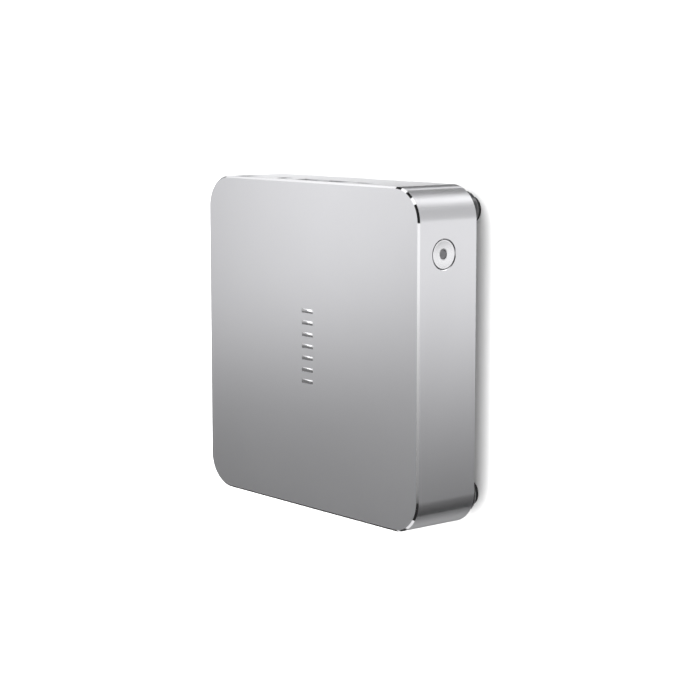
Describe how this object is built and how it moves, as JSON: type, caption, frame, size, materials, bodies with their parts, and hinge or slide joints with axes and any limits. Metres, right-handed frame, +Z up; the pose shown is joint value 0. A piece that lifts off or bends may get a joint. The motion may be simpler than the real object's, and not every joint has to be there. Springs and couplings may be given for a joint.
{
  "type": "mini pc",
  "caption": "Square silver aluminium mini PC on round black feet, with front and rear sockets, a side power button, a finned blower cooler and a screwed black base.",
  "frame": {"origin": "on the ground under the middle of the case", "axes": "+Z up through the lid, -Y out of the front sockets, -X out of the power button, +Y out of the rear sockets, +X out of the fan outlet"},
  "size_m": [0.128, 0.128, 0.038],
  "materials": {
    "shell": "satin anodised, silver, with a mirror-cut chamfer round the lid",
    "base": "black moulded plastic, semi-gloss",
    "dust_mesh": "fine black woven mesh",
    "io_plastic": "black, fine texture",
    "foot_rubber": "black, matt",
    "screw_steel": "nickel-plated",
    "button_metal": "bright, fine turned, dished",
    "light_guide": "smoked clear, unlit",
    "inner_plastic": "black moulded",
    "socket_plastic": "grey moulded",
    "circuit_board": "solder mask over woven glass",
    "white_plastic": "natural white",
    "flex": "amber polyimide film",
    "silicon": "polished die on a dark package",
    "spring_steel": "stamped",
    "lead_sleeve": "black, smooth",
    "cell_steel": "nickel-plated can",
    "socket_steel": "nickel-plated",
    "copper": "bare copper, lightly brushed",
    "fin_metal": "plain rolled",
    "fan_plastic": "black moulded"
  },
  "bodies": {
    "case": {"housing": "shell", "bottom_cover": "base", "dust_mesh": "dust_mesh", "rear_io_plate": "io_plastic", "foot_front_left": "foot_rubber", "cover_screw_front_left": "screw_steel", "board_screw_front_left": "screw_steel", "foot_front_right": "foot_rubber", "cover_screw_front_right": "screw_steel", "board_screw_front_right": "screw_steel", "foot_rear_left": "foot_rubber", "cover_screw_rear_left": "screw_steel", "board_screw_rear_left": "screw_steel", "foot_rear_right": "foot_rubber", "cover_screw_rear_right": "screw_steel", "board_screw_rear_right": "screw_steel", "button_carrier": "inner_plastic", "button_board": "circuit_board", "tact_switch": "inner_plastic", "button_ribbon": "flex", "motherboard": "circuit_board", "cpu_package": "silicon", "memory_socket": "inner_plastic", "memory_module": "circuit_board", "ssd_socket": "inner_plastic", "ssd": "circuit_board", "ssd_standoff": "screw_steel", "ssd_screw": "screw_steel", "wifi_socket": "inner_plastic", "wifi_card": "circuit_board", "antenna_front": "flex", "antenna_rear": "flex", "antenna_lead_front": "lead_sleeve", "antenna_lead_rear": "lead_sleeve", "coin_cell": "cell_steel", "coin_cell_holder": "inner_plastic", "usb_a_left_shell": "socket_steel", "usb_a_left_tongue": "inner_plastic", "usb_a_right_shell": "socket_steel", "usb_a_right_tongue": "inner_plastic", "usb_c_shell": "socket_steel", "usb_c_tongue": "inner_plastic", "audio_jack": "socket_plastic", "dc_jack": "socket_plastic", "hdmi_port": "socket_steel", "lan_port": "socket_steel", "rear_usb_stack": "socket_steel", "cold_plate": "copper", "heat_pipe_front": "copper", "heat_pipe_rear": "copper", "fin_stack": "fin_metal", "fan_housing": "fan_plastic", "fan_cover": "spring_steel", "fan_shaft": "spring_steel"},
    "button": {"power_button": "button_metal", "button_light_guide": "light_guide"},
    "plunger": {"switch_plunger": "white_plastic"},
    "rotor": {"fan_rotor": "fan_plastic"},
    "latch_front": {"memory_latch_front": "spring_steel"},
    "latch_rear": {"memory_latch_rear": "spring_steel"}
  },
  "joints": [
    {"name": "power_button_press", "type": "slide", "parent": "case", "child": "button", "axis": [1, 0, 0], "range_m": [0, 0.0005], "stiffness_N_per_m": 2000, "springref_m": -0.0003},
    {"name": "switch_plunger_press", "type": "slide", "parent": "case", "child": "plunger", "axis": [1, 0, 0], "range_m": [0, 0.0005], "stiffness_N_per_m": 200, "springref_m": -0.0003},
    {"name": "fan_spin", "type": "hinge", "parent": "case", "child": "rotor", "pos_m": [0.0233, 0.017, 0.0165], "axis": [0, 0, 1], "continuous": true},
    {"name": "front_latch_swing", "type": "hinge", "parent": "case", "child": "latch_front", "pos_m": [-0.0319, -0.022, 0.03], "axis": [0, 0, 1], "range_deg": [0, 8], "stiffness_Nm_per_rad": 0.5, "springref_deg": -2.86},
    {"name": "rear_latch_swing", "type": "hinge", "parent": "case", "child": "latch_rear", "pos_m": [-0.0319, 0.047, 0.03], "axis": [0, 0, -1], "range_deg": [0, 8], "stiffness_Nm_per_rad": 0.5, "springref_deg": -2.86}
  ],
  "couplings": [
    {"joint": "switch_plunger_press", "follows": "power_button_press", "ratio": 1}
  ]
}
